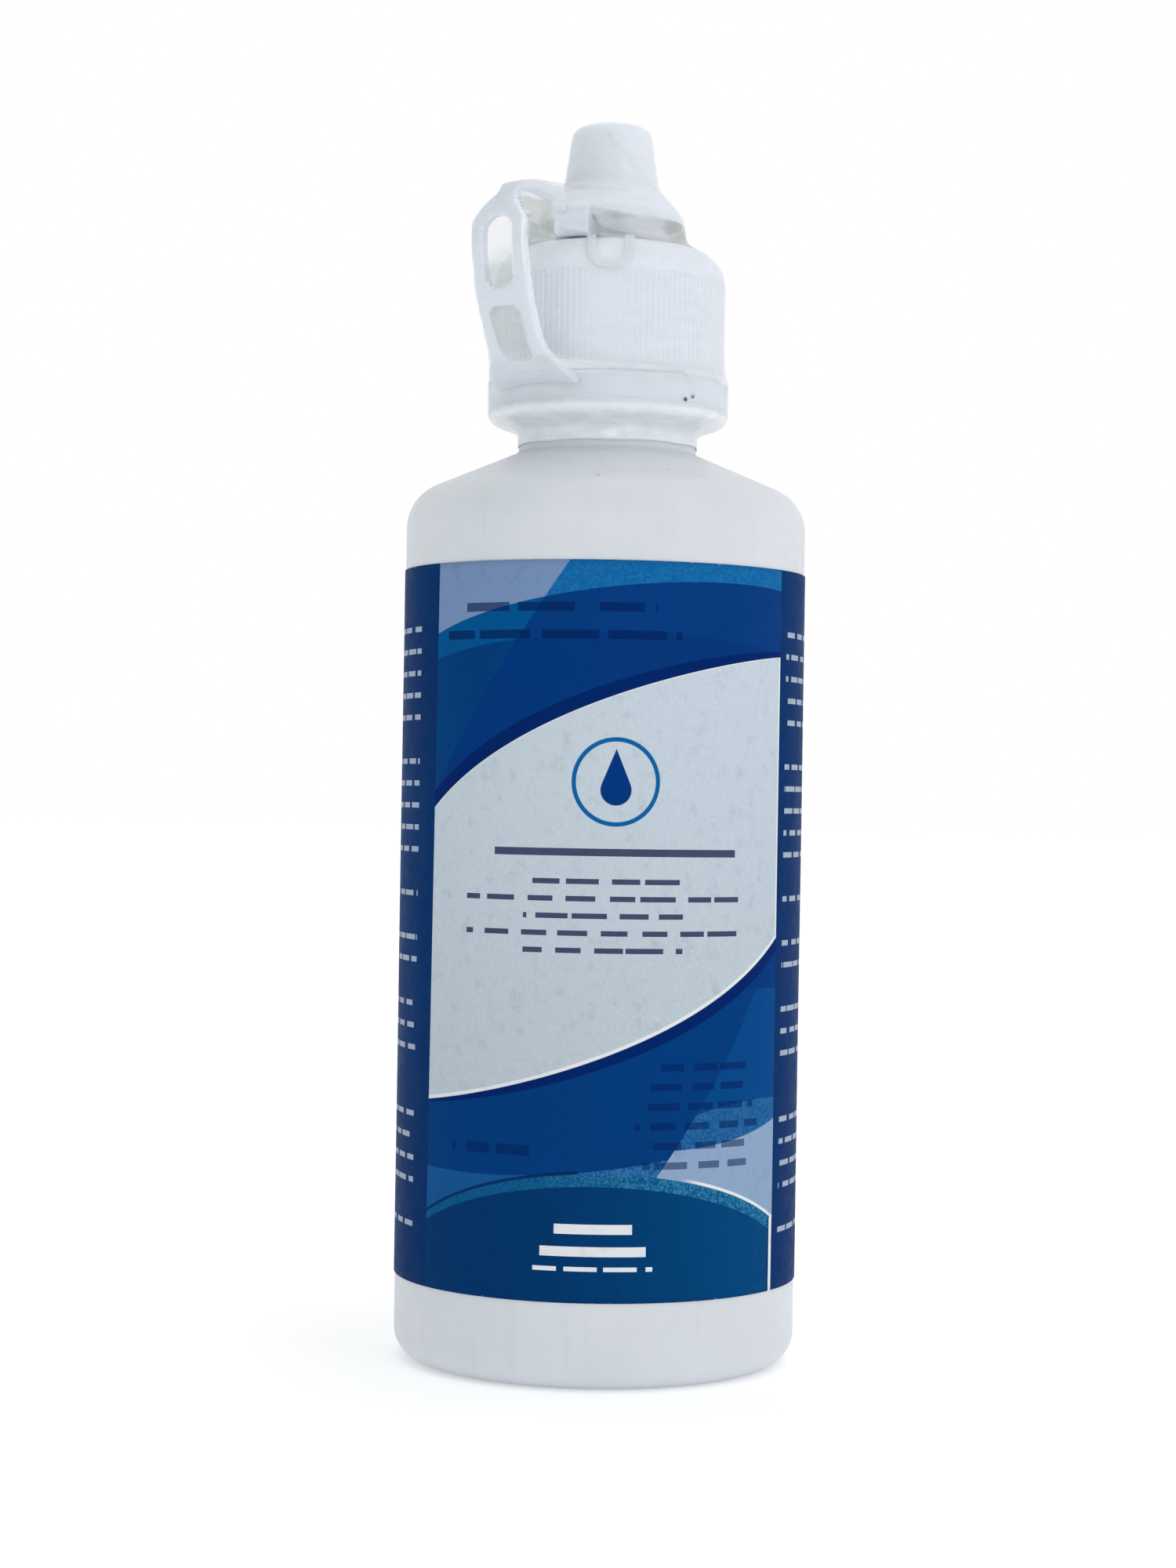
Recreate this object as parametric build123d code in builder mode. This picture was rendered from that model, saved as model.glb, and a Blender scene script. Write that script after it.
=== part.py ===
from build123d import *
import os
from math import cos, pi, radians, sin

# Contact lens solution bottle, in millimetres. +Z is up, the origin is the centre of the foot,
# the label's front faces -Y and +X is to the right of someone looking at the label.

# ---- driving dimensions ----
body_r = 23.75  # outside of the body
wall = 0.9  # body wall
foot_corner_r = 3.5
shoulder_corner_r = 5.2
shoulder_edge_z = 101.75  # where the body wall and the sloping shoulder would meet
neck_r = 10.57  # neck root, 24 mm neck finish
neck_base_z = 107.4
neck_bore_r = 9.1
rim_z = 129.05  # top of the neck
bead_z = 113.9  # underside of the bead that holds the collar

pitch = 3.175  # closure thread, right hand
turns = 1.5
thread_z = 120.8  # centre of the neck ridge at its lower end
thread_crest_r = 11.75
thread_step = 1.25  # cap ridge below neck ridge, closed

skirt_r = 13.62  # cap skirt between the ribs
rib_height = 0.1
rib_count = 120
skirt_z = 116.0  # bottom of the cap
deck_z = 131.7
cap_shoulder_r = 4.2  # rounding between skirt and deck
cap_top_z = 146.4
bell_r = 8.6

ring_z = 131.8  # bottom of the swivel ring
ring_top_z = 134.6
ring_bore_r = 5.85
ring_r = 6.6
lug_r = 10.9  # the strap's seat on the swivel ring
lug_top_z = 135.6

collar_r = 14.25
collar_z = 110.7
collar_top_z = 115.7

label_z = 10.1
label_top_z = 93.1
label_thickness = 0.1
label_gap = 0.02

strap_angle = 36  # from the label's front towards its left
strap_width = 7.5
rail_width = 1.6
strap_thickness = 1.2
film_thickness = 0.15
film_gap = 0.2  # between the film and what it is shrunk on
film_z = 108.6  # lower edge of the film, on the neck

# ---- planes of the strap, and shapes used by more than one piece ----
strap_out = Vector(-sin(radians(strap_angle)), -cos(radians(strap_angle)), 0)
strap_side = Vector(-cos(radians(strap_angle)), sin(radians(strap_angle)), 0)
strap_plane = Plane(origin=(0, 0, 0), x_dir=strap_out, z_dir=strap_side)  # x out, y up
strap_above = Plane(origin=(0, 0, 0), x_dir=strap_out, z_dir=(0, 0, 1))  # x out, y to the front
strap_face = Plane(origin=(0, 0, 0), x_dir=-strap_side, z_dir=strap_out)  # x to the front, y up
shoulder_centre = (skirt_r + rib_height - cap_shoulder_r, deck_z - cap_shoulder_r)

os.makedirs("parts", exist_ok=True)

# ---- bottle: blown body with a threaded neck, a bead that holds the collar and a pushed-up base ----
bead_r = 12.1
foot_inner_r = 16.0
push_up = 2.6
with BuildPart() as bottle:
    with BuildSketch(Plane.XZ):
        with BuildLine():
            FilletPolyline(
                (0, push_up),
                (foot_inner_r - 2.5, 1.3),
                (foot_inner_r, 0),
                (body_r, 0),
                (body_r, shoulder_edge_z),
                (neck_r, neck_base_z),
                (neck_r, bead_z),
                (bead_r, bead_z),
                (bead_r, bead_z + 0.7),
                (neck_r, bead_z + 1.5),
                (neck_r, rim_z),
                (0, rim_z),
                radius=[0, 1.5, 0.6, foot_corner_r, shoulder_corner_r, 0.8, 0, 0.2, 0.3, 0.3, 0.4, 0],
                close=True,
            )
        make_face()
    revolve(axis=Axis.Z)
    with BuildSketch(Plane.XZ):
        with BuildLine():
            FilletPolyline(
                (0, push_up + wall),
                (foot_inner_r - 2.0, 1.3 + wall),
                (foot_inner_r + 0.6, wall),
                (body_r - wall, wall),
                (body_r - wall, shoulder_edge_z - wall),
                (neck_bore_r, neck_base_z - 1.2),
                (neck_bore_r, rim_z + 1),
                (0, rim_z + 1),
                radius=[0, 1.5, 1.0, foot_corner_r - wall, shoulder_corner_r - wall, 1.5, 0, 0],
                close=True,
            )
        make_face()
    revolve(axis=Axis.Z, mode=Mode.SUBTRACT)
    with BuildLine() as neck_helix:
        Helix(pitch, pitch * turns, neck_r, center=(0, 0, thread_z))
    with BuildSketch(Plane(neck_helix.line @ 0, x_dir=(1, 0, 0), z_dir=neck_helix.line % 0)):
        with BuildLine():
            Polyline(
                (-0.3, -0.95),
                (thread_crest_r - neck_r, -0.4),
                (thread_crest_r - neck_r, 0.4),
                (-0.3, 0.95),
                close=True,
            )
        make_face()
    sweep(path=neck_helix.line, is_frenet=True)
    # pinch-off line of the blown base, inside the push-up
    with BuildSketch(Plane.XY.offset(1.2)):
        Rectangle(22, 0.5)
    extrude(until=Until.NEXT)
bottle.part.label = "bottle"
export_step(bottle.part, "parts/bottle.step")

# ---- wrap label: a thin sleeve glued round the body, its two ends lapped at the back ----
label_in_r = body_r + label_gap
lap_angle = 14
with BuildPart() as wrap_label:
    with BuildSketch(Plane.XY.offset(label_z)):
        Circle(label_in_r + label_thickness)
        Circle(label_in_r, mode=Mode.SUBTRACT)
    extrude(amount=label_top_z - label_z)
    with BuildSketch(Plane.YZ):
        with Locations((label_in_r + label_thickness, (label_z + label_top_z) / 2)):
            Rectangle(label_thickness, label_top_z - label_z)
    revolve(axis=Axis.Z, revolution_arc=lap_angle)
wrap_label.part.label = "wrap_label"
export_step(wrap_label.part, "parts/wrap_label.step")

# ---- dropper tip: a soft insert in the neck, with a plug skirt, a flange and a nozzle ----
plug_z = 121.5
plug_wall = 1.1
flange_r = 10.3
flange_thickness = 1.1
nozzle_top_z = 143.4
outlet_r = 0.6
with BuildPart() as dropper_tip:
    with BuildSketch(Plane.XZ):
        with BuildLine():
            FilletPolyline(
                (0, plug_z),
                (neck_bore_r - 0.5, plug_z),
                (neck_bore_r, plug_z + 1.5),
                (neck_bore_r, rim_z),
                (flange_r, rim_z),
                (flange_r, rim_z + flange_thickness),
                (4.7, rim_z + flange_thickness),
                (3.8, 137.4),
                (2.3, nozzle_top_z),
                (0, nozzle_top_z),
                radius=[0, 0, 0, 0, 0.3, 0.3, 1.0, 1.5, 0.7, 0],
                close=True,
            )
        make_face()
    revolve(axis=Axis.Z)
    with BuildSketch(Plane.XZ):
        with BuildLine():
            FilletPolyline(
                (0, plug_z - 1),
                (neck_bore_r - plug_wall, plug_z - 1),
                (neck_bore_r - plug_wall, rim_z - 0.4),
                (3.7, rim_z + 0.6),
                (2.8, 137.0),
                (outlet_r, 141.2),
                (outlet_r, nozzle_top_z - 0.6),
                (1.1, nozzle_top_z + 0.1),
                (0, nozzle_top_z + 0.1),
                radius=[0, 0, 1.0, 0.6, 1.0, 0, 0, 0, 0],
                close=True,
            )
        make_face()
    revolve(axis=Axis.Z, mode=Mode.SUBTRACT)
dropper_tip.part.label = "dropper_tip"
export_step(dropper_tip.part, "parts/dropper_tip.step")

# ---- cap: ribbed skirt, rounded deck, groove for the swivel ring, bell and hollow cone ----
cap_in_r = 12.05  # inside of the skirt, at the root of the thread
deck_under_z = 130.3
groove_r = ring_bore_r - 0.07
rib_z = 116.5
rib_top_z = 127.6
rib_pitch = 2 * pi * (skirt_r + rib_height) / rib_count
with BuildPart() as cap:
    with BuildSketch(Plane.XZ):
        with BuildLine():
            FilletPolyline(
                (0, skirt_z),
                (skirt_r, skirt_z),
                (skirt_r, rib_z - 0.1),
                (skirt_r + rib_height, rib_z + 0.1),
                (skirt_r + rib_height, deck_z),
                (groove_r, deck_z),
                (groove_r, ring_top_z + 0.06),
                (bell_r, ring_top_z + 0.06),
                (bell_r - 0.1, ring_top_z + 1.3),
                (5.6, 139.2),
                (4.55, cap_top_z),
                (0, cap_top_z),
                radius=[0, 0.2, 0, 0, cap_shoulder_r, 0, 0, 0, 1.3, 1.6, 1.4, 0],
                close=True,
            )
        make_face()
    revolve(axis=Axis.Z)
    # grooves between the grip ribs
    with BuildSketch(Plane.XY.offset(rib_z)):
        with PolarLocations(skirt_r + rib_height, rib_count):
            Rectangle(2 * rib_height, 0.55 * rib_pitch)
    extrude(amount=rib_top_z - rib_z, mode=Mode.SUBTRACT)
    with BuildSketch(Plane.XZ):
        with BuildLine():
            FilletPolyline(
                (0, skirt_z - 1),
                (cap_in_r + 0.4, skirt_z - 1),
                (cap_in_r + 0.4, skirt_z + 0.2),
                (cap_in_r, skirt_z + 0.8),
                (cap_in_r, deck_under_z),
                (5.15, deck_under_z),
                (5.15, 134.4),
                (4.7, 138.4),
                (3.6, cap_top_z - 1.1),
                (0, cap_top_z - 1.1),
                radius=[0, 0, 0, 0, 0.8, 0.3, 1.0, 1.0, 0.8, 0],
                close=True,
            )
        make_face()
    revolve(axis=Axis.Z, mode=Mode.SUBTRACT)
    # pin that closes the nozzle's outlet
    with BuildSketch(Plane.XY.offset(cap_top_z - 0.6)):
        Circle(outlet_r - 0.1)
    extrude(amount=nozzle_top_z - 0.9 - (cap_top_z - 0.6))
    with BuildLine() as cap_helix:
        Helix(pitch, pitch * turns, cap_in_r, center=(0, 0, thread_z - thread_step))
    with BuildSketch(Plane(cap_helix.line @ 0, x_dir=(1, 0, 0), z_dir=cap_helix.line % 0)):
        with BuildLine():
            Polyline((0.3, -0.75), (-1.15, -0.35), (-1.15, 0.35), (0.3, 0.75), close=True)
        make_face()
    sweep(path=cap_helix.line, is_frenet=True)
cap.part.label = "cap"
export_step(cap.part, "parts/cap.step")

# ---- neck collar: ring snapped under the neck bead, the fixed end of the tether ----
with BuildPart() as neck_collar:
    with BuildSketch(Plane.XZ):
        with BuildLine():
            FilletPolyline(
                (neck_r + 0.1, collar_z),
                (collar_r, collar_z),
                (collar_r, collar_top_z),
                (12.6, collar_top_z),
                (12.6, bead_z - 0.1),
                (neck_r + 0.1, bead_z - 0.1),
                radius=[0.2, 1.6, 0.4, 0.3, 0.3, 0.2],
                close=True,
            )
        make_face()
    revolve(axis=Axis.Z)
neck_collar.part.label = "neck_collar"
export_step(neck_collar.part, "parts/neck_collar.step")

# ---- swivel ring: rides in the cap's groove, with the strap's lug and a U-shaped pull loop ----
lug_start = 38  # the lug's two edges, measured like strap_angle
lug_end = 14
lug_plane = Plane(
    origin=(0, 0, 0),
    x_dir=(-sin(radians(lug_start)), -cos(radians(lug_start)), 0),
    z_dir=(-cos(radians(lug_start)), sin(radians(lug_start)), 0),
)
loop_width = 5.5
loop_band = 1.1
loop_z = 127.4  # lowest edge of the loop
loop_gap = 0.1
loop_thickness = 0.3
# the loop before it is cut to a U: a plate over the deck and down the rounded shoulder
with BuildPart() as loop:
    with BuildSketch(Plane.YZ):
        with BuildLine():
            near = CenterArc((-shoulder_centre[0], shoulder_centre[1]), cap_shoulder_r + loop_gap, 90, 90)
            far = CenterArc(
                (-shoulder_centre[0], shoulder_centre[1]), cap_shoulder_r + loop_gap + loop_thickness, 90, 90
            )
            Line(near @ 1, far @ 1)
            Polyline(near @ 0, (0.3 - ring_r, (near @ 0).Y), (0.3 - ring_r, (far @ 0).Y), far @ 0)
        make_face()
    revolve(axis=Axis.Z, revolution_arc=40)
    mirror(about=Plane.YZ)
    with BuildSketch(Plane.XZ):
        with BuildLine():
            FilletPolyline(
                (-loop_width / 2, loop_z),
                (loop_width / 2, loop_z),
                (loop_width / 2, deck_z + 2),
                (-loop_width / 2, deck_z + 2),
                radius=[2.4, 2.4, 0, 0],
                close=True,
            )
        make_face()
        with BuildLine():
            FilletPolyline(
                (loop_band - loop_width / 2, loop_z + loop_band),
                (loop_width / 2 - loop_band, loop_z + loop_band),
                (loop_width / 2 - loop_band, deck_z + 2),
                (loop_band - loop_width / 2, deck_z + 2),
                radius=[1.3, 1.3, 0, 0],
                close=True,
            )
        make_face(mode=Mode.SUBTRACT)
    extrude(amount=body_r, mode=Mode.INTERSECT)
with BuildPart() as swivel_ring:
    with BuildSketch(Plane.XZ):
        with BuildLine():
            FilletPolyline(
                (ring_bore_r, ring_z),
                (ring_r, ring_z),
                (ring_r, ring_top_z),
                (ring_bore_r, ring_top_z),
                radius=[0.2, 0.2, 0.2, 0.2],
                close=True,
            )
        make_face()
    revolve(axis=Axis.Z)
    with BuildSketch(lug_plane):
        with BuildLine():
            FilletPolyline(
                (ring_r - 0.4, ring_z + 0.1),
                (10.4, ring_z + 0.1),
                (lug_r, 132.6),
                (lug_r, lug_top_z),
                (bell_r + 0.3, lug_top_z),
                (bell_r + 0.25, 134.3),
                (ring_r - 0.4, 134.1),
                radius=[0, 0.4, 0.4, 0, 0.2, 0.1, 0],
                close=True,
            )
        make_face()
    revolve(axis=Axis.Z, revolution_arc=lug_start - lug_end)
    add(loop.part)
swivel_ring.part.label = "swivel_ring"
export_step(swivel_ring.part, "parts/swivel_ring.step")

# ---- strap: ladder-shaped band from the collar, up beside the cap and over its shoulder ----
slot_width = strap_width - 2 * rail_width
rung_z = 123.3
rung_height = 1.8
slot_top_z = 132.6
slot_bottom_z = 116.6
bridge_z = 132.9  # above this the band is trimmed to a narrow bridge
bridge_out = 19.2
with BuildPart() as strap:
    with BuildSketch(strap_plane):
        with BuildLine():
            FilletPolyline(
                (13.4, 114.5),
                (15.4, 115.4),
                (18.0, 118.2),
                (20.1, 122.7),
                (21.7, 130.1),
                (21.2, 133.6),
                (19.2, 136.3),
                (15.5, 137.1),
                (12.0, 136.4),
                (10.0, 134.4),
                radius=[2.5, 7, 18, 12, 3.2, 2.6, 6, 2.2],
            )
        trace(line_width=strap_thickness)
    extrude(amount=strap_width, both=True)
    # ladder frame seen from outside: flared root, straight rails, tapered top, two openings
    with BuildSketch(strap_face):
        with BuildLine():
            FilletPolyline(
                (-strap_width / 2 - 2, 112),
                (-strap_width / 2 - 2, 114.6),
                (-strap_width / 2, 117.8),
                (-strap_width / 2, 132.2),
                (-1.1, 135.6),
                (-2.6, 140),
                (5.2, 140),
                (1.1, 135.6),
                (strap_width / 2, 132.2),
                (strap_width / 2, 117.8),
                (strap_width / 2 + 2, 114.6),
                (strap_width / 2 + 2, 112),
                radius=[0, 1, 3, 1.5, 1, 0, 0, 1, 1.5, 3, 1, 0],
                close=True,
            )
        make_face()
        with Locations((0, (rung_z + rung_height / 2 + slot_top_z) / 2)):
            RectangleRounded(
                slot_width, slot_top_z - rung_z - rung_height / 2, 0.45 * slot_width, mode=Mode.SUBTRACT
            )
        with Locations((0, (slot_bottom_z + rung_z - rung_height / 2) / 2)):
            RectangleRounded(
                slot_width, rung_z - rung_height / 2 - slot_bottom_z, 0.8, mode=Mode.SUBTRACT
            )
    extrude(amount=body_r, mode=Mode.INTERSECT)
    # narrow bridge over the cap's shoulder seen from above, widening to its seat on the ring
    with BuildSketch(strap_above.offset(bridge_z)):
        with Locations((bridge_out / 2, 0)):
            Rectangle(bridge_out, 2 * strap_width)
        with BuildLine():
            FilletPolyline(
                (8, -0.1),
                (11.2, -0.3),
                (14.2, -0.9),
                (bridge_out + 1, -1.1),
                (bridge_out + 1, 1.1),
                (14.2, 1.5),
                (11.2, 3.3),
                (8, 3.8),
                radius=[0, 2, 2, 0, 0, 3, 2, 0],
                close=True,
            )
        make_face(mode=Mode.SUBTRACT)
    extrude(amount=cap_top_z - bridge_z, mode=Mode.SUBTRACT)
    # ends: butted on the collar's wall, and a small gap to the swivel ring's lug
    with BuildSketch(Plane.XY.offset(collar_z)):
        Circle(collar_r)
    extrude(amount=collar_top_z + 1 - collar_z, mode=Mode.SUBTRACT)
    with BuildSketch(Plane.XY.offset(deck_z)):
        Circle(lug_r + 0.06)
    extrude(amount=cap_top_z - deck_z, mode=Mode.SUBTRACT)
strap.part.label = "strap"
export_step(strap.part, "parts/strap.step")


# ---- shrink film: clear sleeve shrunk round collar, cap and strap, open on the neck and at the top ----
def wrapped_shape(grow):
    """Everything the film is shrunk on, grown outwards."""
    tent_half = strap_width / 2 + grow
    with BuildPart() as tent:
        with BuildSketch(strap_plane):
            with BuildLine():
                FilletPolyline(
                    (-collar_r, collar_z - grow),
                    (collar_r + grow, collar_z - grow),
                    (17.0 + grow, 115.2),
                    (18.8 + grow, 117.4),
                    (20.9 + grow, 122.4),
                    (22.4 + grow, 130.1),
                    (21.9 + grow, 133.9),
                    (19.6 + grow, 136.9 + grow),
                    (15.5, 137.8 + grow),
                    (0, 136.4 + grow),
                    (-collar_r, 135.0 + grow),
                    radius=[0, 1, 3, 7, 18, 12, 3.5, 3, 6, 1, 0],
                    close=True,
                )
            make_face()
        extrude(amount=collar_r, both=True)
        with BuildSketch(strap_above.offset(collar_z - grow)):
            with BuildLine():
                Polyline(
                    (-2 - grow, -8.2 - grow),
                    (6, -12.6 - grow),
                    (22.4 + grow, -tent_half),
                    (body_r, -tent_half),
                    (body_r, tent_half),
                    (22.4 + grow, tent_half),
                    (6, 12.6 + grow),
                    (-2 - grow, 8.2 + grow),
                    close=True,
                )
            make_face()
        extrude(amount=cap_top_z - collar_z, mode=Mode.INTERSECT)
    with BuildPart() as wrapped:
        with BuildSketch(Plane.XZ):
            with BuildLine():
                FilletPolyline(
                    (0, film_z),
                    (neck_r + grow, film_z),
                    (neck_r + grow, collar_z - 0.2 - grow),
                    (collar_r + grow, collar_z - grow),
                    (collar_r + grow, deck_z + 0.8 + grow),
                    (lug_r + grow, deck_z + 1.0 + grow),
                    (lug_r + grow, lug_top_z + grow),
                    (6.2 + grow, 138.6 + grow),
                    (4.6 + grow, cap_top_z + grow),
                    (0, cap_top_z + grow),
                    radius=[0, 0, 0.3, 1.6, 3, 0.4, 1, 1.2, 1.4, 0],
                    close=True,
                )
            make_face()
        revolve(axis=Axis.Z)
        add(tent.part)
    return wrapped.part


top_mouth_r = 2.8
with BuildPart() as shrink_film:
    add(wrapped_shape(film_gap + film_thickness))
    add(wrapped_shape(film_gap), mode=Mode.SUBTRACT)
    with BuildSketch(Plane.XY.offset(cap_top_z)):
        Circle(top_mouth_r)
    extrude(amount=1, mode=Mode.SUBTRACT)
shrink_film.part.label = "shrink_film"
export_step(shrink_film.part, "parts/shrink_film.step")
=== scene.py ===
from math import atan2, cos, exp, hypot, pi, radians, sin

import bpy
from mathutils import Matrix, Vector, noise
from mathutils.bvhtree import BVHTree


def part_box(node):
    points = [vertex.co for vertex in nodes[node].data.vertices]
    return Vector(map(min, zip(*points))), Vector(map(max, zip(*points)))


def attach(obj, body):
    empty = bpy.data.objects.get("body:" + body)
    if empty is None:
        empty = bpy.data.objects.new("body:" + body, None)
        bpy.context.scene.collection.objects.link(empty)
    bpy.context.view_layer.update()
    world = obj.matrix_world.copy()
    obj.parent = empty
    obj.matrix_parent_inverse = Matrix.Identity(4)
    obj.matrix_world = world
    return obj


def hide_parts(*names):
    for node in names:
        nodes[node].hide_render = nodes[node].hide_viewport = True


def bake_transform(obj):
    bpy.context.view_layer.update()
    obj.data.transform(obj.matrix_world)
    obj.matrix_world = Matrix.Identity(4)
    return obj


# The looks of a contact lens solution bottle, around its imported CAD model. Metres; the label's front
# faces -Y and +X is to the right of someone looking at the label. Label print is laid out in
# millimetres: s runs round the body to the right from the front, z is the height.

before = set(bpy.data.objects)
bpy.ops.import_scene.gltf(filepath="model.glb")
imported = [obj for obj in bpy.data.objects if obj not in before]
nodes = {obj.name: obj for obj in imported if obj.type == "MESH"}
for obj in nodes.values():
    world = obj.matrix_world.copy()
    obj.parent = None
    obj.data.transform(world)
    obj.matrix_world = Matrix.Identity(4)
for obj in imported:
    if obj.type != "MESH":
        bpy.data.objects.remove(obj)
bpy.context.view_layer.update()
MM = 0.001


# ---- camera ----
camera_place = Vector((0, -0.35746, 0.06658))
camera_yaw = -0.00461685
camera_pitch = 0.0043157
camera_roll = 0.0162052
camera_lens = 68.67  # for a 36 mm long side

forward = Vector(
    (sin(camera_yaw) * cos(camera_pitch), cos(camera_yaw) * cos(camera_pitch), sin(camera_pitch))
)
level_right = Vector((cos(camera_yaw), -sin(camera_yaw), 0))
level_up = level_right.cross(forward)
right = cos(camera_roll) * level_right + sin(camera_roll) * level_up
up = cos(camera_roll) * level_up - sin(camera_roll) * level_right
camera = bpy.data.objects.new("camera", bpy.data.cameras.new("camera"))
camera.data.sensor_fit = "AUTO"
camera.data.sensor_width = 36
camera.data.lens = camera_lens
camera.data.clip_start = 0.01
camera.data.clip_end = 20
camera.matrix_world = Matrix.Translation(camera_place) @ Matrix((right, up, -forward)).transposed().to_4x4()
bpy.context.scene.collection.objects.link(camera)
bpy.context.scene.camera = camera
bpy.context.scene.view_settings.view_transform = "Standard"


# ---- node helpers ----
class Num:
    """A number in a node tree. Arithmetic on it adds Math nodes."""

    def __init__(self, socket):
        self.socket = socket
        self.tree = socket.id_data

    def math(self, operation, *others):
        node = self.tree.nodes.new("ShaderNodeMath")
        node.operation = operation
        for slot, value in zip(node.inputs, (self, *others)):
            if isinstance(value, Num):
                self.tree.links.new(value.socket, slot)
            else:
                slot.default_value = value
        return Num(node.outputs[0])

    def __add__(self, other):
        return self.math("ADD", other)

    def __sub__(self, other):
        return self.math("SUBTRACT", other)

    def __mul__(self, other):
        return self.math("MULTIPLY", other)

    def __truediv__(self, other):
        return self.math("DIVIDE", other)

    def less(self, other):
        return self.math("LESS_THAN", other)

    def more(self, other):
        return self.math("GREATER_THAN", other)

    def size(self):
        return self.math("ABSOLUTE")

    def either(self, other):
        return self.math("MAXIMUM", other)

    def both(self, other):
        return self.math("MINIMUM", other)

    def but(self, other):
        """This mask without another."""
        return self.math("MULTIPLY", other.flip())

    def flip(self):
        return (self * -1) + 1

    def ramp(self, low, high, out_low=0.0, out_high=1.0):
        node = self.tree.nodes.new("ShaderNodeMapRange")
        node.interpolation_type = "SMOOTHSTEP"
        self.tree.links.new(self.socket, node.inputs["Value"])
        for name, value in zip(("From Min", "From Max", "To Min", "To Max"), (low, high, out_low, out_high)):
            node.inputs[name].default_value = value
        return Num(node.outputs[0])


class Paint:
    """A colour in a node tree, built up by laying other colours over it."""

    def __init__(self, tree, colour):
        self.tree = tree
        self.colour = colour

    def over(self, colour, mask):
        mix = self.tree.nodes.new("ShaderNodeMix")
        mix.data_type = "RGBA"
        self.tree.links.new(mask.socket, mix.inputs["Factor"])
        for name, value in (("A", self.colour), ("B", colour)):
            slot = next(i for i in mix.inputs if i.name == name and i.type == "RGBA")
            if isinstance(value, tuple):
                slot.default_value = (*value, 1)
            else:
                self.tree.links.new(value, slot)
        self.colour = next(o for o in mix.outputs if o.type == "RGBA")
        return self


def new_material(name):
    """A material, its node tree and its Principled shader."""
    material = bpy.data.materials.new(name)
    material.use_nodes = True
    tree = material.node_tree
    return material, tree, tree.nodes["Principled BSDF"]


def place_in_mm(tree, stretch=(1, 1, 1)):
    """The surface point in millimetres, as a socket, with the pattern's scale changed along each axis."""
    coordinates = tree.nodes.new("ShaderNodeTexCoord")
    mapping = tree.nodes.new("ShaderNodeMapping")
    mapping.inputs["Scale"].default_value = tuple(k / MM for k in stretch)
    tree.links.new(coordinates.outputs["Object"], mapping.inputs["Vector"])
    return mapping.outputs[0]


def axes(tree, point):
    """The three coordinates of a point."""
    split = tree.nodes.new("ShaderNodeSeparateXYZ")
    tree.links.new(point, split.inputs[0])
    return [Num(o) for o in split.outputs]


def grain(tree, point, size, detail=2.0, roughness=0.5):
    """Noise between 0 and 1 with features about size millimetres across."""
    node = tree.nodes.new("ShaderNodeTexNoise")
    node.inputs["Scale"].default_value = 1 / size
    node.inputs["Detail"].default_value = detail
    node.inputs["Roughness"].default_value = roughness
    tree.links.new(point, node.inputs["Vector"])
    return Num(node.outputs["Fac"])


def random_of(tree, number, salt):
    """A random value between 0 and 1 that belongs to a number."""
    node = tree.nodes.new("ShaderNodeTexWhiteNoise")
    node.noise_dimensions = "1D"
    tree.links.new((number + salt).socket, node.inputs["W"])
    return Num(node.outputs["Value"])


def near(tree, point, spot, radius):
    """A soft round mask about a point in millimetres."""
    node = tree.nodes.new("ShaderNodeVectorMath")
    node.operation = "DISTANCE"
    node.inputs[1].default_value = spot
    tree.links.new(point, node.inputs[0])
    return Num(node.outputs["Value"]).ramp(0.75 * radius, 1.25 * radius, 1, 0)


def bump(tree, shader, height, distance_mm, strength):
    node = tree.nodes.new("ShaderNodeBump")
    node.inputs["Strength"].default_value = strength
    node.inputs["Distance"].default_value = distance_mm * MM
    tree.links.new(height.socket, node.inputs["Height"])
    tree.links.new(node.outputs[0], shader.inputs["Normal"])


# ---- materials ----
def plastic(name, colour, shade, roughness, skin_mm, streak, specks=(), soften=0.12, radius_mm=1.2):
    """Moulded white plastic: cloudy colour, flow streaks, fine skin texture, scuffs and dirt specks."""
    material, tree, shader = new_material(name)
    point = place_in_mm(tree)
    cloud = grain(tree, point, 14, 3)
    mottle = grain(tree, point, 2.2, 3, 0.6)
    streaks = grain(tree, place_in_mm(tree, streak), 1.0, 3, 0.55)
    scuff = grain(tree, place_in_mm(tree, (0.16, 0.16, 1.3)), 1.0, 5, 0.7).ramp(0.66, 0.74)
    paint = Paint(tree, colour)
    paint.over(shade, cloud.ramp(0.35, 0.75, 0, 0.5))
    paint.over(shade, mottle.ramp(0.45, 0.8, 0, 0.35))
    paint.over(tuple(0.9 * c for c in shade), streaks.ramp(0.5, 0.8, 0, 0.3))
    paint.over((0.86, 0.87, 0.89), scuff * 0.25)
    dust = grain(tree, point, 0.35, 1).ramp(0.80, 0.84) * grain(tree, point, 9, 1).ramp(0.5, 0.62)
    paint.over((0.32, 0.33, 0.33), dust * 0.35)
    for spot, spot_radius in specks:
        paint.over((0.16, 0.14, 0.12), near(tree, point, spot, spot_radius) * 0.75)
    tree.links.new(paint.colour, shader.inputs["Base Color"])
    rough = mottle.ramp(0.2, 0.8, roughness - 0.06, roughness + 0.06) + scuff * 0.12
    tree.links.new(rough.socket, shader.inputs["Roughness"])
    shader.inputs["IOR"].default_value = 1.5
    shader.inputs["Specular IOR Level"].default_value = 0.35
    shader.inputs["Subsurface Weight"].default_value = soften
    shader.inputs["Subsurface Radius"].default_value = (1.0, 1.0, 1.0)
    shader.inputs["Subsurface Scale"].default_value = radius_mm * MM
    skin = grain(tree, point, skin_mm, 2) + streaks * 0.6 + scuff * 0.5
    bump(tree, shader, skin, 0.02, 0.5)
    return material


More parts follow.
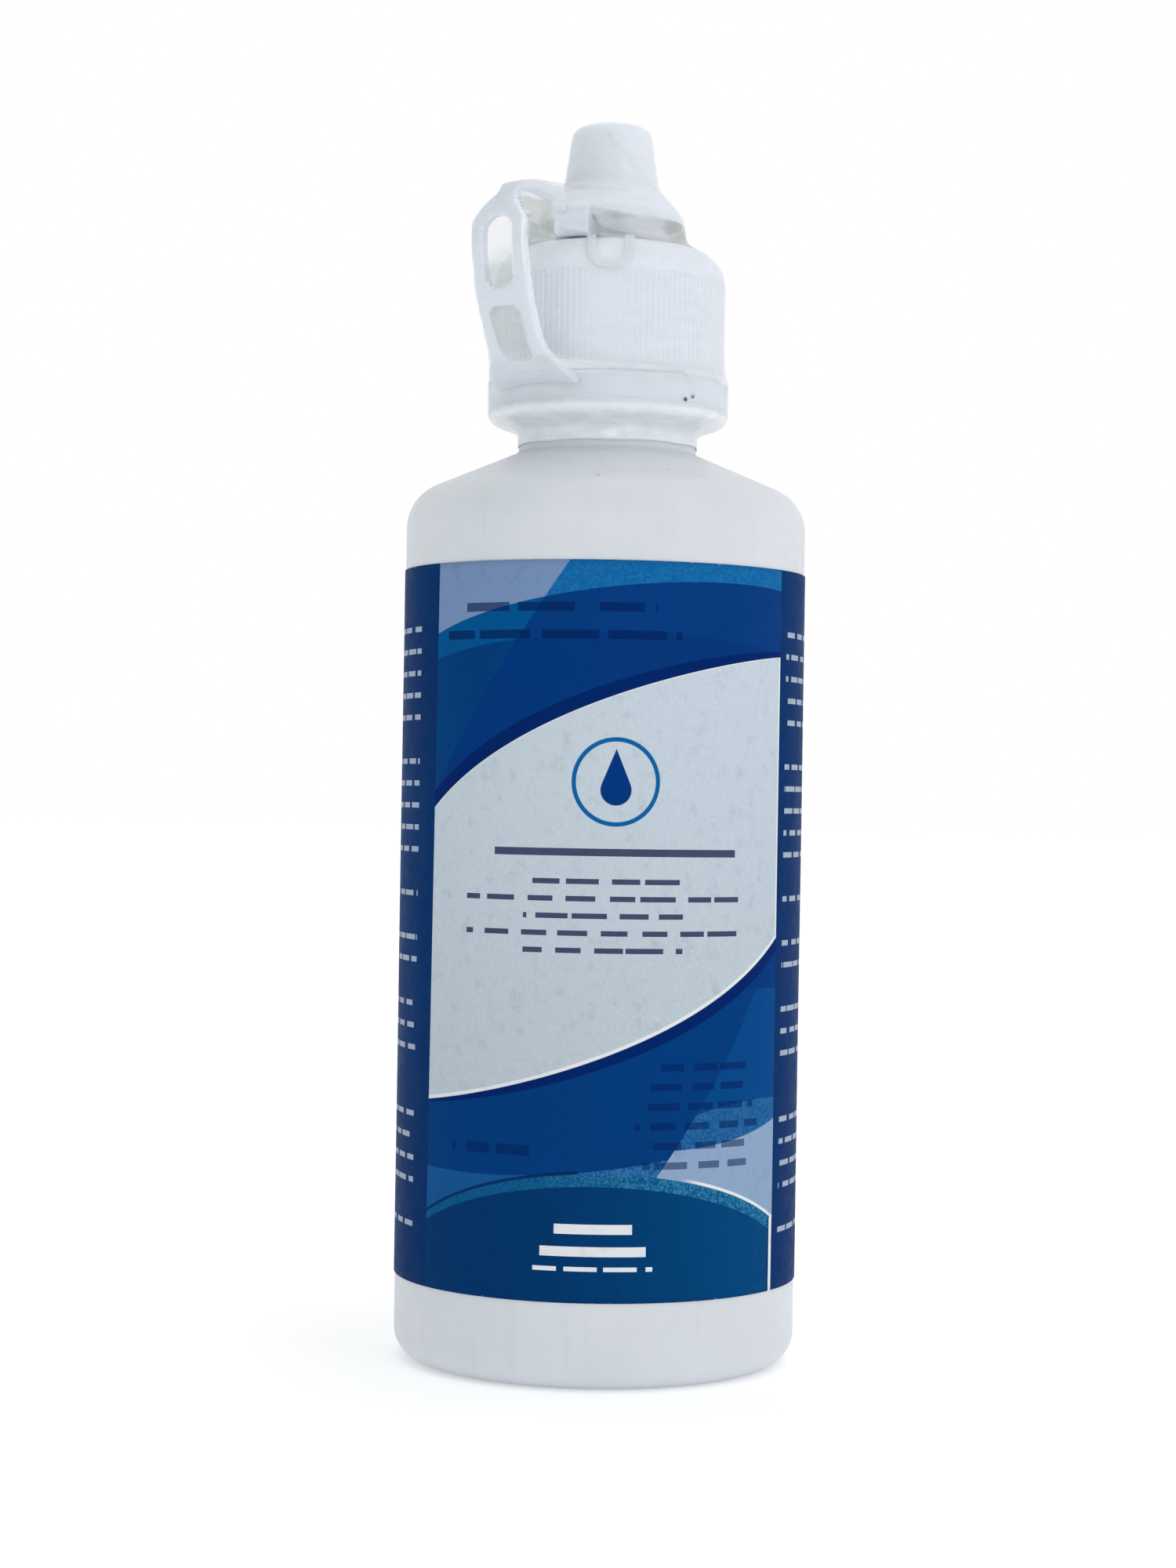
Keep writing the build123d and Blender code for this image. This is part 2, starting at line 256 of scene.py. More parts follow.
bottle_specks = (
    ((0.04, -12.0, 106.8), 0.13),
    ((-0.97, -21.1, 102.9), 0.19),
    ((7.04, -17.2, 104.0), 0.17),
)
white_bottle = plastic(
    "white_bottle", (0.63, 0.66, 0.705), (0.575, 0.61, 0.64), 0.42, 0.5, (0.5, 0.5, 0.03), bottle_specks
)
white_cap = plastic(
    "white_cap", (0.82, 0.845, 0.91), (0.78, 0.81, 0.87), 0.42, 0.35, (0.35, 0.35, 0.06), (), 0.75, 1.6
)
white_tether = plastic(
    "white_tether", (0.74, 0.77, 0.83), (0.69, 0.72, 0.775), 0.36, 0.4, (0.15, 0.15, 0.5), (), 0.75, 1.8
)
natural_tip = plastic(
    "natural_tip", (0.74, 0.76, 0.76), (0.66, 0.68, 0.69), 0.3, 0.5, (0.4, 0.4, 0.1), (), 0.5, 2.0
)

# label colours, linear
navy = (0.001, 0.027, 0.120)
royal = (0.001, 0.034, 0.182)
royal_teal = (0.001, 0.048, 0.185)
band_blue = (0.004, 0.105, 0.32)
band_teal = (0.001, 0.090, 0.28)
periwinkle = (0.165, 0.25, 0.43)
periwinkle_low = (0.24, 0.34, 0.50)
pale = (0.50, 0.565, 0.635)
pale_low = (0.43, 0.50, 0.56)
print_white = (0.70, 0.72, 0.75)
ink = (0.004, 0.012, 0.075)
dome_dark = (0.001, 0.034, 0.130)
dome_edge = (0.001, 0.075, 0.21)


def label_material(radius_mm):
    """The printed wrap label: overlapping curved fields of blue, a pale leaf, a dome and plain bars."""
    material, tree, shader = new_material("printed_label")
    point = place_in_mm(tree)
    x, y, z = axes(tree, point)
    s = x.math("ARCTAN2", y * -1) * radius_mm
    fine = grain(tree, point, 0.35, 2, 0.7)
    coarse = grain(tree, point, 1.6, 3, 0.6)
    cloud = grain(tree, point, 16, 2)
    blur = 0.05

    def disc(centre_s, centre_z, disc_radius):
        across = s - centre_s
        rise = z - centre_z
        away = (across * across + rise * rise).math("SQRT")
        return away.ramp(disc_radius - blur, disc_radius + blur, 1, 0)

    def above(line):
        return line.ramp(-blur, blur)

    def rows(top_z, pitch, count, height, centre_s, half):
        """Where lines of print run: their mask, the height within a line from -0.5 to 0.5, and its index."""
        below = (z * -1 + top_z) / pitch
        index = below.math("FLOOR")
        v = (below.math("FRACT") - 0.5) * (-pitch / height)
        half_width = half(index) if callable(half) else half
        inside = (s - centre_s).size().less(half_width).both(v.size().less(0.5))
        return inside.both(below.more(0.0)).both(below.less(count)), v, index

    def words(line, word_mm, seed):
        """Plain bars of uneven length in place of words."""
        inside, v, index = line
        shift = random_of(tree, index, seed) * 3
        place = s / word_mm + shift + 400
        cell = place.math("FLOOR") + index * 31
        within = place.math("FRACT")
        start = random_of(tree, cell, seed + 7) * 0.30 + 0.02
        stop = random_of(tree, cell, seed + 31) * 0.06 + 0.91
        return inside.both(within.more(start)).both(within.less(stop))

    # fields of the front panel
    diagonal = z - s * 1.45 - 98.8
    left_of_diagonal = above(diagonal)
    top_band = disc(15.2, -28.0, 119.0).flip()
    second_band = disc(4.0, -35.0, 120.0).flip()
    low_field = disc(-15.7, 155.9, 132.0).flip()
    low_diagonal = above(s - (z - 24.1) * 0.72 - 6.9 + (z - 24.1) * (z - 24.1) * 0.0035)
    leaf_top = disc(31.5, -4.9, 88.1)
    leaf_bottom = disc(-34.9, 129.4, 98.1)
    leaf = leaf_top.both(leaf_bottom).both(s.ramp(24.05, 24.15, 1, 0))
    on_front = s.ramp(24.35, 24.45, 1, 0)
    leaf_line = disc(31.5, -4.9, 88.2).both(disc(-34.9, 129.4, 98.5)).both(on_front)
    shadow = disc(26.3, 4.8, 78.8).both(disc(-29.4, 120.4, 89.3)).both(on_front)
    dome = disc(0.6, -24.6, 49.1)
    dome_inner = disc(-0.1, -27.7, 50.8)
    lower_half = z.less(45)
    upper_half = lower_half.flip()

    paint = Paint(tree, royal)
    paint.over(royal_teal, left_of_diagonal.both(upper_half) * 0.85)
    paint.over((0.002, 0.030, 0.140), cloud.ramp(0.4, 0.7, 0, 0.6))
    paint.over((0.001, 0.044, 0.185), lower_half * 0.6)
    paint.over((0.002, 0.062, 0.235), low_diagonal.both(lower_half) * 0.75)
    paint.over(band_teal, second_band.both(left_of_diagonal).both(upper_half) * 0.75)
    paint.over((0.002, 0.045, 0.200), second_band.but(left_of_diagonal).both(upper_half) * 0.5)
    speckled = fine.ramp(0.35, 0.7)
    paint.over(band_blue, top_band.but(left_of_diagonal).both(upper_half))
    paint.over((0.02, 0.19, 0.42), top_band.but(left_of_diagonal).both(upper_half) * speckled * 0.5)
    paint.over(periwinkle, top_band.both(left_of_diagonal).both(upper_half))
    # fields of the lower half
    strip_top = disc(22.05, -6.4, 38.8)
    strip_low = disc(6.2, 85.0, 58.0).flip()
    strip = strip_top.both(low_diagonal).both(lower_half)
    paint.over((0.006, 0.085, 0.26), strip)
    paint.over((0.06, 0.20, 0.38), strip * speckled * 0.4)
    paint.over((0.008, 0.080, 0.262), low_field.both(lower_half))
    paint.over((0.06, 0.23, 0.42), low_field.both(lower_half) * speckled * s.ramp(-8, 4, 0, 0.6))
    paint.over(periwinkle_low, strip_low.both(lower_half).both(low_diagonal))
    # leaf
    paint.over((0.001, 0.017, 0.12), shadow)
    paint.over(print_white, leaf_line)
    paint.over(pale, leaf)
    paint.over(pale_low, leaf * (s * 0.4 - z + 62).ramp(-16, 30, 0, 0.85))
    paint.over((0.60, 0.66, 0.71), leaf * fine.ramp(0.5, 0.72) * 0.35)
    paint.over((0.40, 0.47, 0.55), leaf * fine.ramp(0.5, 0.3) * 0.25)
    # dome
    dome_rim = disc(0.6, -24.6, 49.45)
    paint.over(print_white, dome_rim.but(dome) * s.ramp(9.5, 12.5))
    paint.over((0.001, 0.014, 0.07), dome_rim.but(dome).both(s.less(-2)) * 0.8)
    paint.over(dome_edge, dome)
    paint.over((0.05, 0.24, 0.40), dome.but(dome_inner) * speckled * s.ramp(-12, 10, 0.15, 0.8))
    paint.over(dome_dark, dome_inner.both(dome))
    paint.over((0.001, 0.055, 0.175), dome_inner.both(dome) * s.ramp(-10, 22))
    paint.over(print_white, (s - 24.05).size().less(0.3).both(z.less(18.6)).both(z.more(0)))
    paint.over(ink, (s - 23.55).size().less(0.1).both(z.less(18.6)))

    # plain bars in place of the wording
    header = words(rows(89.4, 3.1, 2, 1.0, -5.5, lambda i: i * 3 + 11.5), 7.7, 3)
    paint.over((0.001, 0.016, 0.10), header * 0.8)
    title, _, _ = rows(61.2, 1.6, 1, 0.85, 2.0, 14.5)
    body = words(rows(58.1, 1.93, 5, 0.6, 0.4, lambda i: (i * 0.5).math("FRACT") * 15 + 9.2), 4.6, 21)
    paint.over(ink, title.either(body) * 0.9)
    volume = words(rows(28.0, 2.2, 1, 1.2, -12.8, 5.2), 5.1, 33)
    notes = words(rows(37.5, 2.2, 6, 0.8, 12.6, lambda i: random_of(tree, i, 40) * 2.5 + 6), 4.3, 41)
    paint.over((0.001, 0.018, 0.11), volume.either(notes) * 0.7)
    # a plain drop inside a ring, in place of the name
    icon_s, icon_z, drop_r, drop_rise = 1.6, 68.3, 1.75, 4.6
    drop_z = icon_z - 0.9
    lean = drop_r / drop_rise
    slope = (1 - lean * lean) ** 0.5
    cone = (s - icon_s).size() * slope + (z - (drop_z + drop_rise)) * lean
    cone = above(cone * -1).both(above(z - (drop_z + drop_r * lean)))
    paint.over(royal, disc(icon_s, drop_z, drop_r).either(cone))
    paint.over(band_blue, disc(icon_s, icon_z, 5.0).but(disc(icon_s, icon_z, 4.5)))
    # two white rows at the bottom
    wide_bars, _, _ = rows(19.6, 2.5, 2, 1.1, -0.2, lambda i: i * 1.6 + 4.4)
    small_bars = words(rows(14.5, 1.2, 1, 0.5, -0.2, 6.8), 4.6, 61)
    paint.over(print_white, wide_bars.either(small_bars))

    # side panels of dark navy with columns of small print bars
    skew = (z - 10) * 0.0085
    front = (s + 22.6 - skew).ramp(-blur, blur).both(on_front)
    side = Paint(tree, navy)
    side.over((0.001, 0.033, 0.135), cloud.ramp(0.4, 0.8, 0, 0.8))
    turn = s.size()
    column = turn.ramp(25.9, 26.0).both(turn.ramp(64.0, 64.1, 1, 0))
    inside, v, index = rows(87.0, 2.55, 28, 0.62, 0.0, 80)
    inside = inside.both(column).both(random_of(tree, index, 7).more(0.26))
    side.over((0.42, 0.48, 0.58), words((inside, v, index), 3.4, 9) * 0.8)

    paint.over(side.colour, front.flip())

    # print grain, scuffed edges
    paint.over((0.04, 0.12, 0.24), fine.ramp(0.62, 0.85, 0, 0.08))
    paint.over((0.001, 0.012, 0.06), coarse.ramp(0.5, 0.9, 0, 0.22))
    edge = (z - 51.6).size().ramp(41.3, 41.5) * coarse.ramp(0.62, 0.70)
    paint.over((0.55, 0.58, 0.62), edge * 0.7)
    nick = grain(tree, point, 0.3, 1).ramp(0.84, 0.87) * grain(tree, point, 13, 1).ramp(0.55, 0.62)
    paint.over((0.45, 0.53, 0.62), nick * 0.6)
    tree.links.new(paint.colour, shader.inputs["Base Color"])
    tree.links.new((coarse.ramp(0.2, 0.8, 0.40, 0.54) + edge * 0.2).socket, shader.inputs["Roughness"])
    shader.inputs["Specular IOR Level"].default_value = 0.01
    ripple = grain(tree, place_in_mm(tree, (0.12, 0.12, 0.05)), 1.0, 2)
    bump(tree, shader, fine * 0.3 + coarse * 0.4 + ripple * 4, 0.02, 0.6)
    return material


def film_material():
    """Clear shrink film: see-through, glossy, cloudy where it is creased, with two dirt specks. Its haze
    attribute tints it darker green-grey as painted shade over the hollows and along the creases, and it is
    made whitish as painted light round the neck, over the gap above the collar and under the bell's front.
    """
    material, tree, shader = new_material("clear_film")
    point = place_in_mm(tree)
    crinkle = grain(tree, place_in_mm(tree, (0.5, 0.5, 1.6)), 1.0, 4, 0.65)
    fine = grain(tree, point, 0.5, 3, 0.6)
    cloud = grain(tree, point, 6, 2)
    z = axes(tree, point)[2]
    paint = Paint(tree, (0.82, 0.85, 0.91))
    paint.over((0.78, 0.82, 0.86), cloud.ramp(0.4, 0.7, 0, 0.6))
    # painted light: the film is tinted whiter below the collar, where the neck lies in the collar's shade
    paint.over((0.92, 0.95, 1.0), z.ramp(112.4, 111.4))
    # painted shade: the haze attribute tints the film darker green-grey, and makes it more opaque, over the
    # hollows under the bell, across the strap's slots and along the creases
    slack = tree.nodes.new("ShaderNodeAttribute")
    slack.attribute_name = "haze"
    paint.over((0.50, 0.545, 0.53), Num(slack.outputs["Fac"]).ramp(0.05, 0.5))
    dirt = near(tree, point, (9.02, -11.31, 112.8), 0.28).either(
        near(tree, point, (9.85, -10.6, 113.27), 0.30) * fine.ramp(0.35, 0.6)
    )
    paint.over((0.09, 0.05, 0.035), dirt)
    tree.links.new(paint.colour, shader.inputs["Base Color"])
    tree.links.new(crinkle.ramp(0.2, 0.8, 0.08, 0.24).socket, shader.inputs["Roughness"])
    shader.inputs["Specular IOR Level"].default_value = 0.5
    bump(tree, shader, crinkle + fine * 0.25, 0.01, 0.2)
    clear = tree.nodes.new("ShaderNodeBsdfTransparent")
    clear.inputs["Color"].default_value = (0.995, 0.997, 0.997, 1)
    facing = tree.nodes.new("ShaderNodeLayerWeight")
    facing.inputs["Blend"].default_value = 0.15
    haze = Num(facing.outputs["Fresnel"]) * 0.22 + crinkle.ramp(0.5, 0.85, 0.0, 0.07)
    # opacity of the film's painted shade (haze attribute) and of its painted light (whitening over the neck,
    # the seam and under the bell)
    milky_shade_and_light = Num(slack.outputs["Fac"]) * crinkle.ramp(0.2, 0.8, 0.8, 1.0)
    # painted light: whitish film opacity over the shaded neck, seam and under-bell gap; faint real haze over
    # the skirt
    light_and_haze_node = tree.nodes.new("ShaderNodeAttribute")
    light_and_haze_node.attribute_name = "film_haze_and_painted_light"
    milky_shade_and_light = milky_shade_and_light.either(Num(light_and_haze_node.outputs["Fac"]) * crinkle.ramp(0.25, 0.75, 0.85, 1.0))
    opaque = haze.either(milky_shade_and_light).either(dirt * 0.9).both(0.95)
    mix = tree.nodes.new("ShaderNodeMixShader")
    tree.links.new(opaque.socket, mix.inputs[0])
    tree.links.new(clear.outputs[0], mix.inputs[1])
    tree.links.new(shader.outputs[0], mix.inputs[2])
    tree.links.new(mix.outputs[0], tree.nodes["Material Output"].inputs["Surface"])
    return material


def wear(node, material):
    """Gives a CAD node its material."""
    slots = nodes[node].material_slots
    for slot in slots:
        slot.material = material
    if not slots:
        nodes[node].data.materials.append(material)


wear("bottle", white_bottle)
wear("cap", white_cap)
wear("neck_collar", white_tether)
wear("dropper_tip", natural_tip)


# ---- mesh helpers ----
def mesh_object(name, points, faces, material):
    mesh = bpy.data.meshes.new(name)
    mesh.from_pydata(points, [], faces)
    mesh.update()
    mesh.polygons.foreach_set("use_smooth", [True] * len(mesh.polygons))
    mesh.materials.append(material)
    piece = bpy.data.objects.new(name, mesh)
    bpy.context.scene.collection.objects.link(piece)
    return piece


def freeze(piece):
    """Replaces a piece's mesh by the result of its modifiers."""
    evaluated = piece.evaluated_get(bpy.context.evaluated_depsgraph_get())
    mesh = bpy.data.meshes.new_from_object(evaluated)
    piece.modifiers.clear()
    piece.data = mesh


def grid_faces(rows, columns, closed, first=0):
    """Quads between rows of points, each row columns long."""
    faces = []
    for i in range(rows - 1):
        for j in range(columns if closed else columns - 1):
            k = (j + 1) % columns
            a = first + i * columns
            faces.append((a + j, a + k, a + columns + k, a + columns + j))
    return faces


# ---- label: a thin sleeve with its ends lapped at the back ----
label_low, label_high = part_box("wrap_label")
label_out_r = label_high.x
label_thick = 0.09 * MM
label_lap = 14  # degrees
label_columns = 374
label_rows = 84


def label_point(i, j, inset):
    """Row i from the bottom, column j from the lap's start, going round once and past it."""
    turned = j * (360 + label_lap) / (label_columns - 1)
    angle = radians(90 + turned)
    height = label_low.z + (label_high.z - label_low.z) * i / (label_rows - 1)
    lapped = max(0.0, min(1.0, (turned - 360 + 1.0) / 2.0))
    wave = 0.05 * MM * (0.5 + 0.5 * noise.noise(Vector((2.2 * cos(angle), 2.2 * sin(angle), height / 0.024))))
    out = label_out_r - 0.03 * MM + wave + lapped * 0.1 * MM - inset
    return (out * cos(angle), out * sin(angle), height)


def make_label():
    points = [
        label_point(i, j, inset)
        for inset in (0.0, label_thick)
        for i in range(label_rows)
        for j in range(label_columns)
    ]
    inner = label_rows * label_columns
    faces = grid_faces(label_rows, label_columns, False)
    faces += [tuple(reversed(f)) for f in grid_faces(label_rows, label_columns, False, inner)]
    rim = [(0, j) for j in range(label_columns)]
    rim += [(i, label_columns - 1) for i in range(1, label_rows)]
    rim += [(label_rows - 1, j) for j in range(label_columns - 2, -1, -1)]
    rim += [(i, 0) for i in range(label_rows - 2, 0, -1)]
    for (i, j), (k, m) in zip(rim, rim[1:] + rim[:1]):
        a = i * label_columns + j
        b = k * label_columns + m
        faces.append((b, a, a + inner, b + inner))
    label = mesh_object("label_sleeve", points, faces, label_material(label_out_r / MM))
    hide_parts("wrap_label")
    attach(label, "bottle")


# ---- tether: the CAD strap and swivel ring with the rounded edges of a moulding ----
def moulded(name, node, voxel, passes):
    """A copy of a CAD node with its edges rounded."""
    piece = bpy.data.objects.new(name, nodes[node].data.copy())
    bpy.context.scene.collection.objects.link(piece)
    piece.data.materials.clear()
    piece.data.materials.append(white_tether)
    remesh = piece.modifiers.new("remesh", "REMESH")
    remesh.mode = "VOXEL"
    remesh.voxel_size = voxel
    remesh.use_smooth_shade = True
    smooth = piece.modifiers.new("smooth", "SMOOTH")
    smooth.factor = 0.5
    smooth.iterations = passes
    freeze(piece)
    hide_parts(node)
    return piece


# ---- shrink film: pulled tight round everything above the neck ----
film_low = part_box("shrink_film")[0].z - 0.4 * MM
film_gap = 0.1 * MM
film_columns = 360
film_step = 0.3 * MM
film_mouth_r = 2.8 * MM
film_thickness = 0.05 * MM
ray_start_r = 40 * MM  # outside everything on the bottle
flare_top = 119.5 * MM  # the film leaves the cap's skirt here, on its way down to the collar
flare_drop = 4.6 * MM
fine_rows_low = 133.0 * MM  # closer rows of points over the strap's arch
fine_rows_high = 139.5 * MM


def outer_radius(trees, angle, height):
    """Distance from the axis of the outermost surface in a direction."""
    start = Vector((ray_start_r * cos(angle), ray_start_r * sin(angle), height))
    inward = Vector((-cos(angle), -sin(angle), 0))
    best = 0.0
    for tree in trees:
        hit = tree.ray_cast(start, inward, ray_start_r)[3]
        if hit is not None:
            best = max(best, ray_start_r - hit)
    return best


def hull_radii(radii, angles):
    """Radii of the convex outline round a closed ring of radii."""
    points = sorted((r * cos(a), r * sin(a)) for r, a in zip(radii, angles))

    def chain(ordered):
        out = []
        for p in ordered:
            while len(out) > 1 and (out[-1][0] - out[-2][0]) * (p[1] - out[-2][1]) <= (
                out[-1][1] - out[-2][1]
            ) * (p[0] - out[-2][0]):
                out.pop()
            out.append(p)
        return out[:-1]

    ring = chain(points) + chain(points[::-1])
    start = min(range(len(ring)), key=lambda i: atan2(ring[i][1], ring[i][0]) % (2 * pi))
    ring = ring[start:] + ring[:start]
    turns = [atan2(p[1], p[0]) % (2 * pi) for p in ring]
    out = []
    k = len(ring) - 1
    for a in angles:
        while k < len(ring) - 1 and turns[k + 1] <= a:
            k += 1
        if k == len(ring) - 1 and turns[0] <= a < turns[k]:
            k = 0
            while turns[k + 1] <= a:
                k += 1
        p, q = ring[k], ring[(k + 1) % len(ring)]
        across = (q[0] - p[0], q[1] - p[1])
        turned = cos(a) * across[1] - sin(a) * across[0]
        out.append((p[0] * across[1] - p[1] * across[0]) / turned)
    return out


def bridged(profile, reach):
    """A profile along the height with its hollows spanned by straight runs up to reach steps long."""
    out = list(profile)
    count = len(profile)
    for i in range(count):
        for j in range(i + 2, min(count, i + reach + 1)):
            for k in range(i + 1, j):
                level = profile[i] + (profile[j] - profile[i]) * (k - i) / (j - i)
                if level > out[k]:
                    out[k] = level
    return out


# the film from the deck up to the bell's rim, as height and radius in millimetres
bell_span = ((131.9, 9.6), (132.6, 9.05), (134.0, 8.8), (135.6, 8.65))

# creases pulled into the film: points as x and height across the front, then the ridge's height,
# all in millimetres
film_creases = (
    ((-0.9, 145.7), (0.6, 143.6), (2.8, 141.0), (5.2, 138.6), 0.26),
    ((-7.0, 117.0), (-2.5, 116.0), (2.8, 115.6), (8.6, 116.0), (10.0, 113.8), 0.24),
    ((-2.2, 113.6), (-0.2, 113.9), (0.4, 112.2), (-1.6, 111.6), 0.16),
    ((0.4, 112.2), (0.3, 110.2), (-0.8, 109.4), 0.12),
    ((-9.0, 112.6), (-4.0, 110.2), 0.10),
    ((-4.6, 138.9), (0.5, 138.3), (4.8, 139.0), 0.12),
    ((-5.2, 136.9), (0.2, 136.1), (5.4, 136.8), 0.14),
    ((2.8, 117.2), (5.0, 113.4), 0.12),
)


def ridge(radius, angle, height):
    """How far the film stands out at its creases."""
    if sin(angle) > -0.3:
        return 0.0
    x, z = radius * cos(angle) / MM, height / MM
    most = 0.0
    for *route, rise in film_creases:
        for (ax, az), (bx, bz) in zip(route, route[1:]):
            run = (bx - ax) ** 2 + (bz - az) ** 2
            share = max(0.0, min(1.0, ((x - ax) * (bx - ax) + (z - az) * (bz - az)) / run))
            gap = hypot(x - ax - share * (bx - ax), z - az - share * (bz - az))
            if gap < 1.0:
                most = max(most, rise * exp(-((gap / 0.26) ** 2)))
    return most * MM


strap_angle = 36  # where the strap stands, in degrees from the front towards the left


def ease(low, high, value):
    share = max(0.0, min(1.0, (value - low) / (high - low)))
    return share * share * (3 - 2 * share)


def haze_and_hollow_shade(slack, x, y, z):
    """How hazy the film is where it spans a hollow: under the bell and across the strap's slots. The same
    value tints the film darker green-grey there, as painted shade of the hollows.
    """
    left = atan2(-x, -y) * 180 / pi  # degrees from the front towards the left
    loose = ease(0.2, 1.4, slack)
    recess = ease(131.3, 132.0, z) * (1 - ease(135.0, 136.4, z)) * (0.35 + 0.65 * ease(38, 70, abs(left)))
    beside = ease(129.0, 130.2, z) * (1 - ease(134.4, 135.6, z)) * (1 - ease(-7.4, -5.6, x)) * (y < 0)
    between = max(recess, 0.9 * beside) * (1 - ease(10.2, 11.2, abs(x)))
    across = 1 - ease(6, 9, abs(left - strap_angle))
    slots = across * ease(116, 118, z) * (1 - ease(126.5, 128.5, z))
    arch = 0.2 * ease(133.5, 135, z) * ease(10, 12, hypot(x, y))
    return max(0.55 * loose * between, 0.36 * loose * slots, arch)


def film_haze_and_painted_light(slack, x, y, z):
    """How white the film is: most round the neck and over the gap above the collar, and under the bell's
    front, all painted light where shade falls; faint over the cap, where it is the film's own haze.
    """
    turn = atan2(y, x)
    front = 1 - ease(35, 65, abs(turn + pi / 2) * 180 / pi)
    pucker = 0.95 + 0.1 * noise.noise(Vector((5 * cos(turn), 5 * sin(turn), z * 0.9)))
    # painted light: round the neck, over the seam above the collar and under the bell's front, the film is
    # made opaque and whitish where shade falls
    neck = 0.9 * (1 - ease(111.6, 113.2, z))
    seam = 0.65 * exp(-(((z - 115.9) / 0.8) ** 2))
    close_in = 1 - ease(10, 12, hypot(x, y))
    under_bell = 0.6 * ease(130.8, 131.6, z) * (1 - ease(134.8, 136.0, z)) * front * close_in
    skirt = 0.26 * (1 - ease(0.8, 4, slack))
    return max(neck, seam, under_bell, skirt) * pucker


def surface_tree(piece):
    """A CAD node's surface, for casting rays at."""
    mesh = piece.data
    points = [piece.matrix_world @ vertex.co for vertex in mesh.vertices]
    return BVHTree.FromPolygons(points, [tuple(face.vertices) for face in mesh.polygons])


def make_film():
    trees = [surface_tree(nodes[name]) for name in ("cap", "neck_collar", "swivel_ring", "bottle", "strap")]
    collar_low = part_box("neck_collar")[0].z
    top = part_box("cap")[1].z
    angles = [2 * pi * j / film_columns for j in range(film_columns)]
    heights = []
    height = film_low
    while height < top - 0.02 * MM:
        heights.append(height)
        fine_rows = height > top - 1.6 * MM or fine_rows_low < height < fine_rows_high
        height += 0.4 * film_step if fine_rows else film_step
    tight = [[outer_radius(trees, a, h) for a in angles] for h in heights]
    wrap = [hull_radii(row, angles) for row in tight]
    # a flare from the skirt down to the collar, which the film spans
    collar_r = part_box("neck_collar")[1].x
    skirt_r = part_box("cap")[1].x
    for i, h in enumerate(heights):
        share = max(0.0, min(1.0, (flare_top - h) / flare_drop))
        if collar_low + 1.6 * MM < h < flare_top:
            span = skirt_r + (collar_r - skirt_r) * share * share * (3 - 2 * share)
            wrap[i] = [max(r, span) for r in wrap[i]]
        for (low_z, low_r), (high_z, high_r) in zip(bell_span, bell_span[1:]):
            if low_z <= h / MM < high_z:
                span = (low_r + (high_r - low_r) * (h / MM - low_z) / (high_z - low_z)) * MM
                wrap[i] = [max(r, span) for r in wrap[i]]
    for j in range(film_columns):
        column = bridged([row[j] for row in wrap], 3)
        for i, row in enumerate(wrap):
            row[j] = column[i]
    # soften along the height and round the girth
    for _ in range(4):
        before = [list(row) for row in wrap]
        for i in range(1, len(wrap) - 1):
            for j in range(film_columns):
                near_by = before[i - 1][j] + before[i + 1][j] + before[i][j - 1]
                near_by += before[i][(j + 1) % film_columns]
                wrap[i][j] = max(tight[i][j], 0.5 * before[i][j] + 0.125 * near_by)
    points = []
    haze = []
    white = []
    for i, h in enumerate(heights):
        for j, a in enumerate(angles):
            slack = wrap[i][j] - tight[i][j]
            rise = h / (6 * MM)
            seat = Vector((3.0 * cos(a) + 0.45 * rise, 3.0 * sin(a) - 0.35 * rise, 0.8 * rise))
            crease = (1 - 3.2 * abs(noise.noise(seat + Vector((0, 0, 7))))) * 0.5
            crease = max(0.0, crease + 0.5 * noise.noise(seat * 2.3))
            low_wrinkle = exp(-(((h - 115 * MM) / (2.0 * MM)) ** 2)) * (0.2 + 0.5 * max(0.0, -sin(a)))
            out = wrap[i][j] + film_gap + 0.12 * MM * crease * (0.10 + low_wrinkle)
            raised = ridge(out, a, h)
            out += raised
            points.append((out * cos(a), out * sin(a), h + (0.1 * MM if i == len(heights) - 1 else 0)))
            in_mm = [value / MM for value in (slack, out * cos(a), out * sin(a), h)]
            # the haze value is painted shade too: it darkens the film over hollows and along the raised
            # creases
            haze.append(max(haze_and_hollow_shade(*in_mm), 0.9 * raised / MM))
            white.append(film_haze_and_painted_light(*in_mm))
    # wavy lower edge
    for j, a in enumerate(angles):
        x, y, z = points[j]
        points[j] = (x, y, z - 0.14 * MM * (1 + sin(5 * a) * cos(3 * a + 1)))
    # rings over the top down to the open mouth
    rim = points[-film_columns:]
    rim_r = sum(hypot(p[0], p[1]) for p in rim) / film_columns
    top_rings = (0.2, 0.5, 0.8, 1.0)
    haze += [0.0] * len(top_rings) * film_columns
    white += [0.1] * len(top_rings) * film_columns
    for share in top_rings:
        radius = rim_r + (film_mouth_r - rim_r) * share
        for a in angles:
            ragged = 1 + 0.10 * share * noise.noise(Vector((1.6 * cos(a), 1.6 * sin(a), 4)))
            lip = top + (0.08 + 0.05 * share) * MM
            points.append((radius * ragged * cos(a), radius * ragged * sin(a), lip))
    rows = len(points) // film_columns
    film = mesh_object("shrink_wrap", points, grid_faces(rows, film_columns, True), film_material())
    film.data.attributes.new("haze", "FLOAT", "POINT").data.foreach_set("value", haze)
    film.data.attributes.new("film_haze_and_painted_light", "FLOAT", "POINT").data.foreach_set("value", white)
    relax = film.modifiers.new("relax", "SMOOTH")
    relax.factor = 0.5
    relax.iterations = 3
    sheet = film.modifiers.new("thickness", "SOLIDIFY")
    sheet.thickness = film_thickness
    sheet.offset = 1
    freeze(film)
    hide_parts("shrink_film")
    return film


make_label()
strap_band = moulded("strap_band", "strap", 0.18 * MM, 8)
ring_piece = moulded("ring_moulding", "swivel_ring", 0.15 * MM, 6)
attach(ring_piece, "swivel_ring")
shrink_wrap = make_film()
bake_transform(strap_band)
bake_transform(shrink_wrap)


